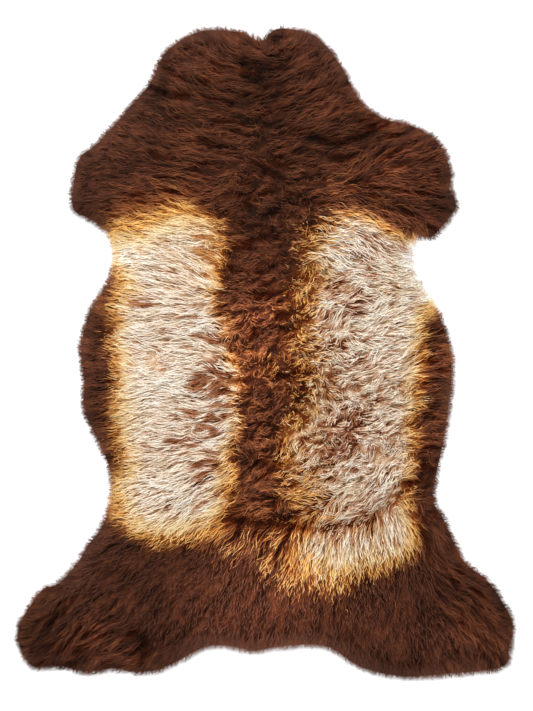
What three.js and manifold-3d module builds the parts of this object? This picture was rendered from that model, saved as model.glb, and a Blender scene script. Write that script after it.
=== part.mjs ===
// A natural sheepskin rug lying flat with its wool side up: one tanned hide in the shape it came off
// the animal, neck at +Y, hind legs at -Y, spine along Y. The wool is a lumpy slab with combed tufts,
// partings and low folds on top, a rolled rim, and loose pointed locks all round that rim.
// Sizes are in millimetres. The floor is z = 0.

import * as THREE from "three";
import { mergeVertices } from "three/addons/utils/BufferGeometryUtils.js";
import Module from "manifold-3d";

const wasm = await Module();
wasm.setup();

// Driving sizes of the wool
const PILE_HEIGHT = 40; // top of the combed wool over the floor, away from the rim
const RIM_HEIGHT = 13; // top of the dense wool where the rim locks begin
const CROWN_REACH = 62; // how far in from the rim the wool reaches its full height
const ROLL_HEIGHT = 7; // the rim's underside lifts off the floor by this much
const ROLL_IN = 9; // and over this width
const RIM_INSET = 14; // the dense wool ends this far inside the outline of the wool tips
const RIM_STEPS = 120; // straight steps round the rim
const GRID_STEP = 20; // spacing of the points on the top

// Combed tufts on the top
const TUFT_SPACING = 36;
const TUFT_LENGTH = 34; // along the comb
const TUFT_WIDTH = 13; // across it
const TUFT_RELIEF = 8;

// Loose locks round the rim: a lower row that lies on the floor and an upper row that droops over it.
// root is the length inside the dense wool, past how far the tips pass the outline on average, and
// under the height of the lock's underside at its root, half-way along and at its tip.
const LOCKS_PER_ROW = 112;
const LOWER_LOCK = { root: 24, past: 4, width: 34, height: 18, under: [3, 0, 0] };
const UPPER_LOCK = { root: 22, past: -3, width: 28, height: 15, under: [14, 11, 5] };
const REACH_VARIATION = 11; // the longest lock reaches this much further than the shortest
const LOCK_SWELL = 0.6; // extra width and height half-way along, over a straight taper
const LOCK_BEND = 14; // the tips turn aside by up to half of this
const LOCK_SIDES = 3;
const LOCK_STEPS = 2;

// Outline of the wool tips seen from above, clockwise from the notch in the neck
const OUTLINE = [
  { at: "neck notch", x: -12, y: 507 },
  { at: "neck right lobe", x: 0, y: 521 },
  { at: "neck right lobe", x: 26, y: 528 },
  { at: "neck right lobe", x: 82, y: 512 },
  { at: "neck right side", x: 124, y: 460 },
  { at: "neck right side", x: 142, y: 424 },
  { at: "right shoulder", x: 174, y: 388 },
  { at: "right shoulder", x: 240, y: 368 },
  { at: "right foreleg", x: 281, y: 336 },
  { at: "right foreleg", x: 297, y: 290 },
  { at: "right foreleg", x: 297, y: 262 },
  { at: "right foreleg point", x: 305, y: 234 },
  { at: "right foreleg", x: 283, y: 201 },
  { at: "right armpit", x: 262, y: 181 },
  { at: "right armpit", x: 236, y: 182 },
  { at: "right armpit", x: 230, y: 154 },
  { at: "right flank", x: 237, y: 134 },
  { at: "right flank", x: 251, y: 108 },
  { at: "right flank", x: 280, y: 60 },
  { at: "right belly", x: 299, y: -12 },
  { at: "right belly", x: 293, y: -92 },
  { at: "right waist", x: 280, y: -168 },
  { at: "right waist", x: 269, y: -228 },
  { at: "right waist", x: 284, y: -256 },
  { at: "right thigh", x: 297, y: -286 },
  { at: "right thigh", x: 318, y: -327 },
  { at: "right thigh", x: 356, y: -358 },
  { at: "right hind leg", x: 385, y: -402 },
  { at: "right hind leg", x: 397, y: -430 },
  { at: "right hind leg", x: 391, y: -470 },
  { at: "right hind foot", x: 387, y: -497 },
  { at: "right hind foot", x: 362, y: -509 },
  { at: "right hind foot", x: 296, y: -516 },
  { at: "right hind foot", x: 216, y: -521 },
  { at: "right buttock", x: 146, y: -506 },
  { at: "right buttock", x: 88, y: -472 },
  { at: "tail", x: 20, y: -473 },
  { at: "tail", x: -22, y: -480 },
  { at: "tail", x: -62, y: -473 },
  { at: "left buttock", x: -100, y: -474 },
  { at: "left buttock", x: -166, y: -508 },
  { at: "left hind foot", x: -214, y: -517 },
  { at: "left hind foot", x: -288, y: -512 },
  { at: "left hind foot", x: -338, y: -504 },
  { at: "left hind foot", x: -383, y: -502 },
  { at: "left hind leg", x: -408, y: -442 },
  { at: "left hind leg", x: -368, y: -373 },
  { at: "left hind leg", x: -340, y: -361 },
  { at: "left thigh", x: -308, y: -325 },
  { at: "left thigh", x: -296, y: -303 },
  { at: "left thigh", x: -269, y: -266 },
  { at: "left waist", x: -255, y: -208 },
  { at: "left waist", x: -273, y: -150 },
  { at: "left belly", x: -300, y: -92 },
  { at: "left belly", x: -301, y: -40 },
  { at: "left belly", x: -306, y: 10 },
  { at: "left flank", x: -293, y: 66 },
  { at: "left flank", x: -261, y: 120 },
  { at: "left armpit", x: -253, y: 146 },
  { at: "left armpit", x: -250, y: 164 },
  { at: "left armpit", x: -260, y: 190 },
  { at: "left foreleg", x: -288, y: 210 },
  { at: "left foreleg", x: -319, y: 230 },
  { at: "left foreleg", x: -316, y: 288 },
  { at: "left shoulder", x: -305, y: 321 },
  { at: "left shoulder", x: -277, y: 343 },
  { at: "left shoulder", x: -232, y: 393 },
  { at: "neck left side", x: -194, y: 438 },
  { at: "neck left side", x: -170, y: 486 },
  { at: "neck left lobe", x: -114, y: 522 },
  { at: "neck left lobe", x: -46, y: 522 },
];

// The way the wool tips are combed at places on the hide: 0 is towards +X, 90 towards the neck
const COMB = [
  { at: "neck left lobe", x: -94, y: 480, heading: 118 },
  { at: "neck right lobe", x: 66, y: 480, heading: 62 },
  { at: "neck left side", x: -134, y: 410, heading: 160 },
  { at: "neck right side", x: 106, y: 400, heading: 28 },
  { at: "left shoulder", x: -194, y: 330, heading: 152 },
  { at: "right shoulder", x: 186, y: 320, heading: 30 },
  { at: "left foreleg", x: -294, y: 260, heading: 178 },
  { at: "right foreleg", x: 286, y: 260, heading: 2 },
  { at: "left upper back", x: -134, y: 170, heading: 164 },
  { at: "right upper back", x: 116, y: 160, heading: 28 },
  { at: "left belly", x: -224, y: 0, heading: 180 },
  { at: "right belly", x: 216, y: 0, heading: 18 },
  { at: "left waist", x: -194, y: -180, heading: 196 },
  { at: "right waist", x: 186, y: -170, heading: 30 },
  { at: "left thigh", x: -254, y: -350, heading: 218 },
  { at: "right thigh", x: 296, y: -350, heading: 318 },
  { at: "left hind foot", x: -314, y: -460, heading: 232 },
  { at: "right hind foot", x: 336, y: -460, heading: 304 },
  { at: "left rump", x: -124, y: -400, heading: 250 },
  { at: "right rump", x: 106, y: -400, heading: 272 },
];

// Partings and folds in the wool, as lines on the hide. A negative depth is a low fold.
const CREASES = [
  {
    at: "parting across the rump",
    depth: 12,
    width: 13,
    line: [
      [-64, -262],
      [16, -272],
      [106, -277],
      [172, -258],
      [224, -206],
    ],
  },
  {
    at: "fold below the parting",
    depth: -4,
    width: 22,
    line: [
      [-114, -396],
      [116, -392],
      [316, -398],
    ],
  },
  {
    at: "swirl on the left hind leg",
    depth: 11,
    width: 12,
    line: [
      [-224, -446],
      [-200, -452],
      [-192, -470],
      [-204, -492],
    ],
  },
  {
    at: "tuft beside the swirl",
    depth: -7,
    width: 24,
    line: [
      [-304, -470],
      [-234, -478],
    ],
  },
  {
    at: "furrow across the neck",
    depth: 8,
    width: 13,
    line: [
      [-78, 458],
      [-14, 456],
      [46, 450],
      [106, 474],
    ],
  },
  {
    at: "furrow on the left shoulder",
    depth: 10,
    width: 14,
    line: [
      [-192, 424],
      [-162, 406],
      [-124, 404],
    ],
  },
  {
    at: "furrow on the right shoulder",
    depth: 10,
    width: 14,
    line: [
      [128, 334],
      [172, 346],
      [208, 366],
    ],
  },
  {
    at: "parting on the right shoulder blade",
    depth: 8,
    width: 13,
    line: [
      [88, 118],
      [124, 136],
      [156, 108],
      [182, 92],
    ],
  },
];

const DEGREE = Math.PI / 180;
const ABOVE_ALL = 90; // higher than any wool
const BELOW_ALL = 20;
const MARGIN = 30; // the block of wool reaches this far past the outline before it is cut

// The same number between 0 and 1 for the same place, without any pattern that shows
function chance(a, b) {
  const swing = Math.sin(a * 127.1 + b * 311.7) * 43758.5453;
  return swing - Math.floor(swing);
}

function smooth(t) {
  const held = Math.min(Math.max(t, 0), 1);
  return held * held * (3 - 2 * held);
}

// The outline of the wool tips moved inwards, as a closed ring of points with their outward directions
function ring(inset, steps) {
  const corners = OUTLINE.map((row) => new THREE.Vector3(row.x, row.y, 0));
  const curve = new THREE.CatmullRomCurve3(corners, true, "catmullrom", 0.5);
  const points = curve.getSpacedPoints(steps).slice(0, steps);
  return points.map((point, i) => {
    const before = points[(i + steps - 1) % steps];
    const after = points[(i + 1) % steps];
    const out = new THREE.Vector2(before.y - after.y, after.x - before.x).normalize();
    return { x: point.x - out.x * inset, y: point.y - out.y * inset, out };
  });
}

function distanceToLine(x, y, ax, ay, bx, by) {
  const dx = bx - ax;
  const dy = by - ay;
  const along = ((x - ax) * dx + (y - ay) * dy) / (dx * dx + dy * dy);
  const held = Math.min(Math.max(along, 0), 1);
  return Math.hypot(x - ax - held * dx, y - ay - held * dy);
}

// How far inside the rim a place is, or 0 outside it
function depthInside(x, y, rim) {
  let nearest = Infinity;
  let inside = false;
  rim.forEach((a, i) => {
    const b = rim[(i + 1) % rim.length];
    nearest = Math.min(nearest, distanceToLine(x, y, a.x, a.y, b.x, b.y));
    if (a.y > y !== b.y > y && x < a.x + ((y - a.y) / (b.y - a.y)) * (b.x - a.x)) {
      inside = !inside;
    }
  });
  return inside ? nearest : 0;
}

// The way the wool is combed at a place, as a unit vector
function combAt(x, y) {
  const nearness = 40; // rounds off the change from one row of the table to the next
  const sum = new THREE.Vector2();
  COMB.forEach((row) => {
    const distance = Math.hypot(x - row.x, y - row.y) + nearness;
    const weight = 1 / distance ** 4;
    sum.x += Math.cos(row.heading * DEGREE) * weight;
    sum.y += Math.sin(row.heading * DEGREE) * weight;
  });
  return sum.normalize();
}

// Tufts on a loose grid, each with its own size, lying along the comb
function scatterTufts(rim) {
  const tufts = [];
  const halfLength = 560;
  const halfWidth = 430;
  for (let row = -halfLength; row <= halfLength; row += TUFT_SPACING) {
    for (let column = -halfWidth; column <= halfWidth; column += TUFT_SPACING) {
      const x = column + (chance(row, column) - 0.5) * TUFT_SPACING;
      const y = row + (chance(column, row) - 0.5) * TUFT_SPACING;
      if (depthInside(x, y, rim) > 0) {
        const size = 0.7 + 0.6 * chance(x, y);
        tufts.push({ x, y, size, comb: combAt(x, y) });
      }
    }
  }
  return tufts;
}

function tuftRelief(x, y, tufts) {
  let highest = 0;
  tufts.forEach((tuft) => {
    const dx = x - tuft.x;
    const dy = y - tuft.y;
    const along = (dx * tuft.comb.x + dy * tuft.comb.y) / (TUFT_LENGTH * tuft.size);
    const across = (dy * tuft.comb.x - dx * tuft.comb.y) / (TUFT_WIDTH * tuft.size);
    const bump = TUFT_RELIEF * tuft.size * Math.exp(-(along ** 2) - across ** 2);
    highest = Math.max(highest, bump);
  });
  return highest;
}

function creaseDepth(x, y) {
  let depth = 0;
  CREASES.forEach((crease) => {
    let nearest = Infinity;
    for (let i = 1; i < crease.line.length; i += 1) {
      const [ax, ay] = crease.line[i - 1];
      const [bx, by] = crease.line[i];
      nearest = Math.min(nearest, distanceToLine(x, y, ax, ay, bx, by));
    }
    depth += crease.depth * Math.exp(-((nearest / crease.width) ** 2));
  });
  return depth;
}

// Height of the wool over the floor
function woolHeight(x, y, rim, tufts) {
  const inside = depthInside(x, y, rim);
  const share = Math.min(inside / CROWN_REACH, 1);
  const crown = Math.sqrt(1 - (1 - share) ** 2);
  const relief = tuftRelief(x, y, tufts) - creaseDepth(x, y);
  return RIM_HEIGHT + (PILE_HEIGHT - RIM_HEIGHT) * crown + relief * smooth(share * 2);
}

// A closed three.js geometry as a solid that can be cut and joined
function solidOf(geometry) {
  geometry.deleteAttribute("normal");
  geometry.deleteAttribute("uv");
  const merged = mergeVertices(geometry, 1e-3);
  const vertProperties = merged.attributes.position.array;
  const triVerts = new Uint32Array(merged.index.array);
  return new wasm.Manifold(new wasm.Mesh({ numProp: 3, vertProperties, triVerts }));
}

function geometryOf(solid) {
  const mesh = solid.getMesh();
  const geometry = new THREE.BufferGeometry();
  geometry.setAttribute("position", new THREE.BufferAttribute(mesh.vertProperties, 3));
  geometry.setIndex(new THREE.BufferAttribute(mesh.triVerts, 1));
  geometry.computeVertexNormals();
  return geometry;
}

// A block whose top is the wool's surface, larger than the rug all round
function woolBlock(rim) {
  const box = new THREE.Box2().setFromPoints(rim.map((p) => new THREE.Vector2(p.x, p.y)));
  const size = box.getSize(new THREE.Vector2()).addScalar(2 * MARGIN);
  const middle = box.getCenter(new THREE.Vector2());
  const columns = Math.round(size.x / GRID_STEP);
  const rows = Math.round(size.y / GRID_STEP);
  const block = new THREE.BoxGeometry(size.x, size.y, 2 * BELOW_ALL, columns, rows, 1);
  block.translate(middle.x, middle.y, 0);
  const tufts = scatterTufts(rim);
  const position = block.attributes.position;
  for (let i = 0; i < position.count; i += 1) {
    if (position.getZ(i) > 0) {
      const height = woolHeight(position.getX(i), position.getY(i), rim, tufts);
      position.setZ(i, height);
    }
  }
  return solidOf(block);
}

// The upright wall of the rim, drawn in at the floor so that the wool rolls under
function rimWall(rim) {
  const shape = new THREE.Shape(rim.map((p) => new THREE.Vector2(p.x, p.y)));
  const wall = new THREE.ExtrudeGeometry(shape, {
    depth: ABOVE_ALL,
    bevelEnabled: true,
    bevelThickness: ROLL_HEIGHT,
    bevelSize: ROLL_IN,
    bevelOffset: -ROLL_IN,
    bevelSegments: 2,
  });
  wall.translate(0, 0, ROLL_HEIGHT);
  return solidOf(wall);
}

// One pointed lock with a flat underside, from its root in the wool outwards and down to its tip
function lock(place, row, number) {
  const reach = RIM_INSET + row.past + REACH_VARIATION * (chance(number, row.root) - 0.5);
  const comb = combAt(place.x, place.y);
  const facing = Math.max(comb.dot(place.out), 0);
  const heading = place.out.clone().addScaledVector(comb, 0.3 + 0.6 * facing).normalize();
  const size = 0.8 + 0.4 * chance(row.width, number);
  const bend = LOCK_BEND * (chance(number, row.width) - 0.5);
  const length = row.root + reach;
  const cone = new THREE.ConeGeometry(1, length, LOCK_SIDES, LOCK_STEPS);
  const halfSide = Math.sin(120 * DEGREE); // of the triangle that the cone stands on
  const position = cone.attributes.position;
  for (let i = 0; i < position.count; i += 1) {
    const along = position.getY(i) / length + 0.5;
    const station = Math.round(along * LOCK_STEPS);
    const full = size * (1 + LOCK_SWELL * 4 * along * (1 - along));
    const side = (position.getX(i) / halfSide / 2) * row.width * full + bend * along * along;
    const up = ((position.getZ(i) + (1 - along) / 2) / 1.5) * row.height * full;
    const out = along * length - row.root;
    position.setXYZ(
      i,
      place.x + heading.x * out + heading.y * side,
      place.y + heading.y * out - heading.x * side,
      row.under[station] + up,
    );
  }
  return solidOf(cone);
}

function rimLocks() {
  const lower = ring(RIM_INSET, LOCKS_PER_ROW);
  const upper = ring(RIM_INSET, LOCKS_PER_ROW * 2).filter((_, i) => i % 2 === 1);
  return [
    ...lower.map((place, i) => lock(place, LOWER_LOCK, i + 1)),
    ...upper.map((place, i) => lock(place, UPPER_LOCK, i + 1)),
  ];
}

function sheepskin() {
  const rim = ring(RIM_INSET, RIM_STEPS);
  const slab = woolBlock(rim).intersect(rimWall(rim));
  const skins = wasm.Manifold.union([slab, ...rimLocks()]).decompose();
  // Gaps shut in between the locks are filled, so only the outer skin is kept
  const whole = skins.reduce((a, b) => (b.volume() > a.volume() ? b : a));
  const wool = new THREE.MeshStandardMaterial({
    color: 0x5e3320,
    roughness: 0.95,
    metalness: 0,
  });
  const geometry = geometryOf(whole);
  geometry.computeBoundingBox();
  const middle = geometry.boundingBox.getCenter(new THREE.Vector3());
  geometry.translate(-middle.x, -middle.y, 0);
  const mesh = new THREE.Mesh(geometry, wool);
  mesh.name = "sheepskin";
  return mesh;
}

const rug = new THREE.Group();
rug.name = "sheepskin_rug";
rug.add(sheepskin());

export default rug;
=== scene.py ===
# A natural sheepskin rug lying flat with its wool side up, seen from straight above.
# It is one tanned hide: neck at +Y, hind legs at -Y, spine along Y. The tables are in millimetres on
# the hide, as in the part's own source, and turn into metres where a mesh is made.
# The wool is built lock by lock: the roots are scattered over the hide, the locks follow the comb,
# and each lock is a bundle of tapered strands whose tips lie together.

import math

import bpy
import numpy as np
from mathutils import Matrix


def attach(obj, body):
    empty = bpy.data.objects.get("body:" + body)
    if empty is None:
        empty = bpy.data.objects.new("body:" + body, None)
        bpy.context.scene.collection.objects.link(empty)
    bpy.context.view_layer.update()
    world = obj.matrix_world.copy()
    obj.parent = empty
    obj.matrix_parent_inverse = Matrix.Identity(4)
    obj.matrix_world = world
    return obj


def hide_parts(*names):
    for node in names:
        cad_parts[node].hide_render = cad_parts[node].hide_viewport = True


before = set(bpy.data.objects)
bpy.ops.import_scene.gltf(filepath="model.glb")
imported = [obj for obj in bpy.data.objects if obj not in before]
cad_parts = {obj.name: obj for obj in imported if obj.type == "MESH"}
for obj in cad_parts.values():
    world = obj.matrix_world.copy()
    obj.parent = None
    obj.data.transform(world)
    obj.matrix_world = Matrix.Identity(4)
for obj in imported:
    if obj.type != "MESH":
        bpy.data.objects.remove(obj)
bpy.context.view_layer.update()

MM = 0.001
NODE = "sheepskin"
SEED = 41

# Driving sizes of the wool
PILE_HEIGHT = 40  # top of the combed wool over the floor, away from the rim
RIM_HEIGHT = 13  # top of the wool where the loose tips begin
CROWN_REACH = 62  # how far in from there the wool reaches its full height
RIM_INSET = 14  # the loose tips begin this far inside the outline
HIDE_INSET = 17  # the hide's cut edge
UNDER_INSET = 7  # the dense under-wool hangs over that edge
ROOT_INSET = 8  # the outermost strands begin in it
HIDE_THICKNESS = 1.8
SHEET_SIZE = (880, 1120)  # of the grids that the hide and the under-wool are trimmed from
UNDER_WOOL = 0.4  # height of the dense wool at the skin, as a share of the pile

# Strands and locks
STRANDS = 44500  # spread evenly over the hide
RIM_STRANDS = 15500  # more of them along the rim
RIM_BAND = 34  # these stand no further in than this
LOCK_SPACING = 8.5
STAPLE_SPACING = 27  # locks lean together in staples of about this size
REACH = 31  # how far a strand's tip lies from its root, seen from above
STRAND_WIDTH = 1.25
STRAND_FLATNESS = 0.5  # a strand's height, as a share of its width
STATIONS = np.array([0.0, 0.3, 0.63, 1.0])  # along a strand, its tip last
STATION_WIDTHS = np.array([1.0, 0.95, 0.75, 0.0])
SUNKEN = 0.2  # share of the locks that lie deep, as the dark gaps between the others; their strands are also painted darker, as shade
WAVE = 0.42  # how far a lock's wave turns it, in radians
FURROW_SHARE = 0.3  # how many of the streaks between the locks lie open
FURROW_DEPTH = 0.45  # as a share of the wool's height
TIP_LIMIT = 1.4  # the rim's tips end about this far inside the outline
TIP_SPREAD = 2.2
LENGTHS = (0.65, 1.1)  # of the strands, as a share of their locks' reach
SHORT_LENGTHS = (0.25, 0.7)  # and of the short ones among them
SHORT_SHARE = 0.12  # away from a parting
FRIZZ = 0.8  # how far a strand strays from a smooth line
LEVELS = (0.94, 1.0)  # of the strands, as a share of their locks' height
SUNKEN_LEVELS = (0.55, 0.82)  # of the sunken locks, as a share of the wool's height
STREAK_LENGTH = 6  # how far a strand carries its colour past the pattern's edge
SOFTNESS = 0.72  # how far a strand is shaded as part of the whole coat

# Outline of the wool tips seen from above, clockwise from the notch in the neck
OUTLINE = [
    # x, y
    (-12, 507), (0, 521), (26, 528), (82, 512), (124, 460), (142, 424), (174, 388), (240, 368),
    (281, 336), (298, 290), (296, 264), (308, 238), (283, 201), (262, 181), (236, 182), (230, 154),
    (237, 134), (251, 108), (280, 60), (299, -12), (293, -92), (280, -168), (269, -228), (284, -256),
    (297, -286), (318, -327), (356, -358), (385, -402), (397, -430), (391, -470), (387, -497),
    (362, -509), (296, -516), (216, -521), (146, -506), (88, -472), (20, -473), (-22, -480),
    (-62, -473), (-100, -474), (-166, -507), (-212, -514), (-242, -508), (-288, -513), (-338, -504),
    (-383, -502), (-408, -442), (-368, -373), (-340, -361), (-308, -325), (-296, -303), (-269, -266),
    (-255, -208), (-273, -150), (-300, -92), (-301, -40), (-306, 10), (-293, 66), (-261, 120),
    (-253, 146), (-250, 164), (-260, 190), (-288, 210), (-319, 230), (-316, 288), (-305, 321),
    (-277, 343), (-232, 393), (-194, 438), (-170, 486), (-114, 522), (-46, 522),
]

# The way the tips are combed: heading in degrees, 0 towards +X and 90 towards the neck, and how
# ruffled the wool is there
COMB = [
    # x, y, heading, ruffle
    (-94, 495, 132, 0.6), (-20, 488, 172, 0.9), (66, 490, 48, 0.6), (-134, 440, 160, 0.8),
    (-60, 430, 172, 1.0), (30, 430, 12, 1.0), (100, 430, 35, 0.7), (-194, 350, 150, 0.7),
    (-90, 370, 172, 1.0), (60, 360, 8, 1.0), (180, 330, 24, 0.9), (-300, 270, 178, 0.6),
    (-220, 265, 168, 0.8), (-110, 280, 174, 0.9), (90, 280, 4, 1.0), (210, 260, 350, 1.0),
    (290, 260, 2, 0.7), (150, 300, 38, 1.2), (220, 320, 20, 0.9), (240, 210, 335, 0.8),
    (140, 240, 340, 1.3), (-20, 250, 180, 2.2), (0, 60, 200, 2.6), (-10, -120, 190, 2.4),
    (0, -220, 176, 2.0), (-210, 160, 176, 0.8), (-124, 150, 158, 1.0), (-110, 60, 168, 1.0),
    (-220, 0, 178, 0.7), (-120, -80, 184, 1.1), (-200, -150, 192, 0.8), (-110, -200, 200, 1.0),
    (-210, -250, 198, 0.8), (116, 180, 330, 1.5), (200, 150, 338, 1.1), (130, 90, 20, 1.9),
    (220, 60, 18, 1.0), (100, 10, 25, 2.5), (220, -20, 12, 1.3), (110, -90, 10, 2.8),
    (200, -90, 25, 1.9), (280, -60, 355, 0.6), (90, -180, 170, 2.3), (180, -190, 215, 1.8),
    (110, -245, 205, 2.0), (60, -320, 260, 0.8), (160, -310, 272, 0.6), (240, -290, 290, 0.8),
    (270, -200, 350, 0.8), (-60, -330, 240, 0.7), (-150, -330, 214, 0.5), (-260, -330, 205, 0.6),
    (-190, -410, 228, 0.4), (-120, -420, 245, 0.4), (0, -420, 262, 0.4), (120, -430, 272, 0.4),
    (230, -430, 285, 0.4), (-280, -380, 212, 0.5), (200, -370, 284, 0.4), (-40, -370, 252, 0.4),
    (100, -375, 268, 0.4), (-350, -400, 215, 0.9), (-300, -470, 232, 1.2), (-240, -440, 205, 1.1),
    (-230, -490, 190, 1.2), (320, -380, 330, 1.2), (360, -440, 305, 0.9), (300, -480, 292, 0.7),
    (-190, -490, 250, 0.8),
]

# Partings and folds, as lines on the hide: depth and width, then the line. A negative depth is a
# low fold.
CREASES = [
    ("parting across the rump", 10, 10,
     [(-64, -262), (16, -272), (106, -277), (172, -258), (224, -206)]),
    ("fold below the parting", -4, 22, [(-114, -396), (116, -392), (316, -398)]),
    ("swirl on the left hind leg", 11, 7, [(-218, -446), (-200, -450), (-195, -468), (-204, -488)]),
    ("tuft beside the swirl", -7, 24, [(-304, -470), (-234, -478)]),
    ("furrow across the neck", 8, 9, [(-36, 462), (4, 452), (30, 456)]),
    ("fine furrow on the left shoulder", 10, 4, [(-186, 318), (-150, 308)]),
    ("fine furrow on the right shoulder", 10, 4, [(146, 276), (172, 262)]),
    ("furrow on the left shoulder", 14, 5, [(-192, 428), (-162, 412), (-126, 410)]),
    ("furrow on the right shoulder", 14, 5, [(112, 334), (150, 346), (192, 368)]),
    ("furrow beside it", 13, 4, [(66, 344), (104, 334)]),
    ("parting on the right shoulder blade", 8, 13, [(60, 122), (88, 118), (114, 112), (136, 96)]),
    ("fold on the right shoulder blade", 6, 5, [(152, 186), (168, 172), (192, 152)]),
    ("line over the rump", 3, 6, [(-137, -390), (-60, -394), (18, -393), (90, -396)]),
]

# Outlines of the two pale patches, with the width of the amber wool outside each point
LEFT_PATCH = [
    # x, y, amber
    (-249, 186, 22), (-228, 198, 28), (-202, 204, 28), (-174, 212, 28), (-138, 222, 26),
    (-105, 220, 20), (-84, 206, 14), (-79, 175, 14), (-78, 148, 13), (-80, 111, 12), (-87, 82, 9),
    (-82, 62, 8), (-67, 47, 8), (-63, 23, 8), (-71, -2, 8), (-50, -18, 8), (-50, -57, 8), (-55, -89, 9),
    (-54, -121, 10), (-60, -148, 12), (-60, -182, 14), (-63, -207, 16), (-71, -233, 18),
    (-78, -258, 20), (-89, -278, 20), (-122, -287, 22), (-169, -289, 24), (-199, -281, 22),
    (-225, -266, 22), (-238, -241, 20), (-239, -214, 18), (-230, -177, 20), (-234, -150, 17),
    (-236, -111, 17), (-237, -73, 17), (-240, -28, 18), (-245, 23, 17), (-243, 52, 17), (-238, 87, 17),
    (-231, 116, 18), (-246, 148, 10),
]
RIGHT_PATCH = [
    # x, y, amber
    (134, 224, 9), (162, 214, 9), (188, 199, 9), (210, 187, 9), (234, 180, 8), (250, 154, 4),
    (266, 118, 6), (270, 87, 12), (254, 58, 16), (242, 23, 16), (241, -9, 16), (238, -41, 16),
    (234, -73, 16), (229, -105, 16), (230, -137, 14), (227, -166, 13), (224, -194, 12), (222, -228, 13),
    (228, -265, 16), (228, -297, 18), (217, -316, 18), (194, -327, 22), (159, -338, 24),
    (121, -346, 26), (86, -345, 28), (57, -332, 24), (44, -310, 16), (50, -284, 12), (66, -262, 10),
    (50, -236, 14), (44, -207, 18), (38, -178, 18), (26, -153, 16), (31, -130, 18), (46, -102, 20),
    (56, -76, 22), (62, -47, 24), (62, -12, 22), (57, 15, 18), (45, 39, 20), (49, 65, 20), (52, 90, 20),
    (64, 113, 18), (66, 138, 18), (60, 164, 14), (76, 188, 14), (104, 210, 10),
]

# Brown hairs among the pale ones: x, y, radius and share of the hairs
ROAN = [
    (-116, -58, 16, 0.85), (-72, 86, 16, 0.85), (-99, 106, 12, 0.5), (-190, 82, 26, 0.35),
    (-190, 178, 16, 0.3), (-118, 47, 34, 0.3), (-80, 30, 26, 0.45), (-72, -20, 24, 0.35),
    (-74, -70, 24, 0.4), (-100, -105, 28, 0.4), (-68, -120, 24, 0.4), (-142, -137, 26, 0.35),
    (-182, -137, 16, 0.3), (-90, -185, 28, 0.45), (-110, -265, 16, 0.55), (-206, -252, 10, 0.5),
    (-106, 178, 22, 0.35), (-88, 140, 18, 0.35), (138, 74, 18, 0.8), (99, 115, 16, 0.6),
    (214, 169, 6, 0.8), (162, 127, 12, 0.3), (-240, 140, 30, 0.2), (-225, 90, 34, 0.15),
    (-232, -10, 30, 0.2), (-104, 158, 36, 0.5), (-84, -38, 30, 0.25), (-80, -10, 24, 0.25),
    (-134, -128, 32, 0.5), (-100, -140, 26, 0.3), (-96, -215, 26, 0.3), (140, -62, 30, 0.25),
    (144, -296, 40, 0.25), (62, 80, 26, 0.6), (112, 15, 40, 0.45), (58, 8, 26, 0.6), (60, -48, 30, 0.6),
    (104, -33, 30, 0.4), (122, -121, 44, 0.55), (170, -100, 26, 0.35), (50, -108, 26, 0.6),
    (98, -180, 30, 0.45), (60, -170, 30, 0.6), (66, -222, 36, 0.75), (104, -262, 40, 0.7),
    (58, -296, 26, 0.5), (198, -297, 9, 0.6), (80, 185, 16, 0.7), (160, -250, 22, 0.4),
]
LEFT_ROAN = 0.0  # share of brown hairs anywhere in the left patch
RIGHT_ROAN = 0.2  # and in the right one

# Golden wool within the pale patches: x, y, radius and share
GOLDEN = [
    (70, -120, 34, 0.5), (62, -190, 40, 0.7), (92, -250, 40, 0.6), (190, -300, 40, 0.5),
    (120, -310, 50, 0.4), (100, 20, 40, 0.25), (160, -60, 60, 0.2), (200, 110, 40, 0.25),
    (80, 110, 30, 0.3), (-200, 190, 30, 0.35), (-106, 180, 40, 0.45), (-104, 140, 34, 0.35),
    (-90, -250, 30, 0.3), (-225, 60, 30, 0.3), (-225, -120, 30, 0.3), (-60, -50, 16, 0.3),
    (60, -20, 30, 0.4), (78, -60, 34, 0.4),
]

# Amber-tipped hairs among the brown ones: x, y, radius and share
FLECKS = [
    (0, -20, 40, 0.6), (-46, 0, 24, 0.4), (10, 60, 30, 0.35), (-50, 60, 26, 0.4), (22, 70, 30, 0.35),
    (150, 300, 44, 0.22), (96, 250, 40, 0.3), (-210, 330, 50, 0.15), (-90, 330, 50, 0.12),
    (-12, -60, 50, 0.45), (0, -150, 40, 0.45), (0, -225, 50, 0.4), (6, -320, 44, 0.85),
    (30, -285, 30, 0.8), (-30, -280, 34, 0.7), (-66, -300, 36, 0.6), (30, -362, 30, 0.6),
    (-20, 60, 50, 0.25), (60, -340, 40, 0.5), (30, 200, 40, 0.2), (-60, 190, 30, 0.3),
    (110, -360, 36, 0.3), (30, -20, 30, 0.4), (-30, 120, 40, 0.2), (-150, 245, 46, 0.5),
    (-236, 228, 36, 0.4), (-96, 236, 34, 0.45), (-250, 80, 30, 0.4), (262, 20, 40, 0.4),
    (-255, -60, 40, 0.3), (250, -120, 40, 0.35), (230, 205, 30, 0.45), (170, 240, 36, 0.4),
]

# A ring of amber hair on the right shoulder blade: x, y, radius, half width and share
AMBER_RING = (71, 184, 15, 6, 0.9)
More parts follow.
